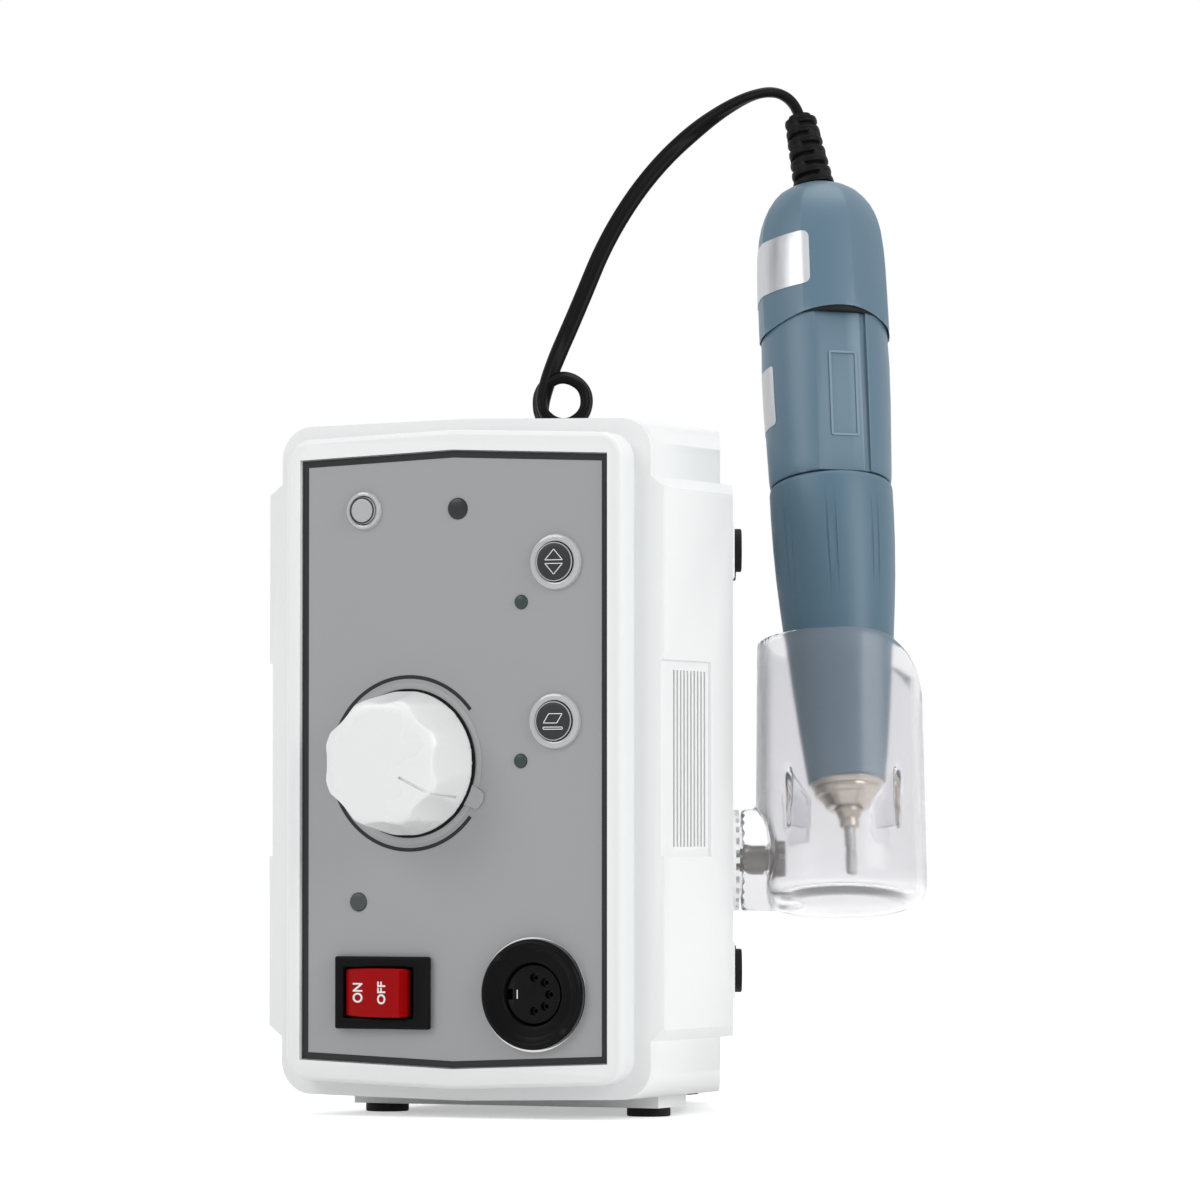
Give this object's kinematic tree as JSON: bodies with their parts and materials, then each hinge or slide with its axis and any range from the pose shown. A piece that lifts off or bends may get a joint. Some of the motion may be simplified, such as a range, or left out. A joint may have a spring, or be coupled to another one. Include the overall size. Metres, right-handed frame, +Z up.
{
  "type": "nail drill machine",
  "caption": "Upright nail drill control box with a speed knob, switch, buttons and socket, and a corded motor handpiece standing in a clear tilting holder.",
  "frame": {"origin": "on the table, on the control panel's middle line and 60 mm behind its face, midway between the front and the rear feet", "axes": "+Z up, -Y out of the control panel, +X to the right as seen from the front"},
  "size_m": [0.1591, 0.1845, 0.2281],
  "materials": {
    "white_housing": "satin white",
    "white_knob": "smooth white",
    "grey_panel": "printed film over grey",
    "black_plastic": "moulded black",
    "dark_button": "dark cap",
    "clear_collar": "clear",
    "red_rocker": "polished red",
    "dark_lens": "smoked lens",
    "clear_plastic": "clear polycarbonate",
    "blue_plastic": "blue-grey moulded",
    "black_rubber": "soft matte",
    "steel": "turned",
    "magnet": "sintered",
    "brass": "machined",
    "copper": "enamelled wire",
    "aluminium": "plain",
    "circuit_board": "solder mask"
  },
  "bodies": {
    "box": {"front_frame": "white_housing", "panel_overlay": "grey_panel", "housing_shell": "white_housing", "rear_panel": "white_housing", "case_screws": "steel", "board_screws": "steel", "bracket_screws": "steel", "bottom_feet": "black_rubber", "side_feet": "black_rubber", "control_board": "circuit_board", "tact_switches": "black_plastic", "indicator_lenses": "dark_lens", "button_collars": "clear_collar", "pot_body": "black_plastic", "pot_nut": "steel", "switch_housing": "black_plastic", "din_shell": "black_plastic", "socket_nut": "steel", "din_insert": "black_plastic", "din_contacts": "brass", "transformer_core": "magnet", "transformer_winding": "copper", "transformer_bracket": "steel", "power_board": "circuit_board", "smoothing_capacitors": "aluminium", "heat_sink": "aluminium", "mains_inlet": "black_plastic", "fuse_holder": "black_plastic", "foot_jack": "black_plastic", "rosette_ring": "clear_plastic", "holder_insert": "brass", "cord_run": "black_rubber", "cord_coil": "black_rubber", "cord_plug": "black_plastic", "cord_tie": "black_rubber"},
    "knob": {"knob": "white_knob", "knob_insert": "brass", "pot_shaft": "steel"},
    "rocker": {"rocker": "red_rocker"},
    "reset_button": {"reset_button": "clear_collar"},
    "direction_button": {"direction_button": "dark_button"},
    "mode_button": {"mode_button": "dark_button"},
    "holder": {"holder_cup": "clear_plastic", "holder_screw": "steel", "holder_washer": "steel"},
    "handpiece": {"motor_shell": "blue_plastic", "rear_cap": "blue_plastic", "strain_relief": "black_rubber", "stator_magnets": "magnet", "brush_holders": "black_plastic", "carbon_brushes": "magnet", "bearings": "steel", "nose_housing": "steel", "cord_arch": "black_rubber"},
    "grip": {"grip_sleeve": "blue_plastic"},
    "spindle": {"armature": "copper", "commutator": "copper", "spindle_shaft": "steel", "collet_nut": "steel", "bur": "steel"}
  },
  "joints": [
    {"name": "knob_turn", "type": "hinge", "parent": "box", "child": "knob", "pos_m": [-0.0105, -0.06, 0.07475], "axis": [0, 1, 0], "range_deg": [0, 300]},
    {"name": "rocker_tilt", "type": "hinge", "parent": "box", "child": "rocker", "pos_m": [-0.017, -0.0578, 0.02635], "axis": [0, 0, 1], "range_deg": [0, 24]},
    {"name": "reset_press", "type": "slide", "parent": "box", "child": "reset_button", "axis": [0, 1, 0], "range_m": [0, 0.0008], "stiffness_N_per_m": 500, "springref_m": -0.001},
    {"name": "direction_press", "type": "slide", "parent": "box", "child": "direction_button", "axis": [0, 1, 0], "range_m": [0, 0.0008], "stiffness_N_per_m": 500, "springref_m": -0.001},
    {"name": "mode_press", "type": "slide", "parent": "box", "child": "mode_button", "axis": [0, 1, 0], "range_m": [0, 0.0008], "stiffness_N_per_m": 500, "springref_m": -0.001},
    {"name": "holder_swing", "type": "hinge", "parent": "box", "child": "holder", "pos_m": [0.03611, 0.00275, 0.05415], "axis": [0.9063, 0.4226, 0], "range_deg": [-50, 60], "deforming": ["cord_run"]},
    {"name": "handpiece_lift", "type": "slide", "parent": "holder", "child": "handpiece", "axis": [-0.1494, 0.2249, 0.9628], "range_m": [0, 0.07], "deforming": ["cord_arch"]},
    {"name": "grip_turn", "type": "hinge", "parent": "handpiece", "child": "grip", "pos_m": [0.05864, 0.01584, 0.06112], "axis": [-0.1494, 0.2249, 0.9628], "range_deg": [0, 60]},
    {"name": "spindle_spin", "type": "hinge", "parent": "handpiece", "child": "spindle", "pos_m": [0.05864, 0.01584, 0.06112], "axis": [-0.1494, 0.2249, 0.9628], "continuous": true}
  ]
}
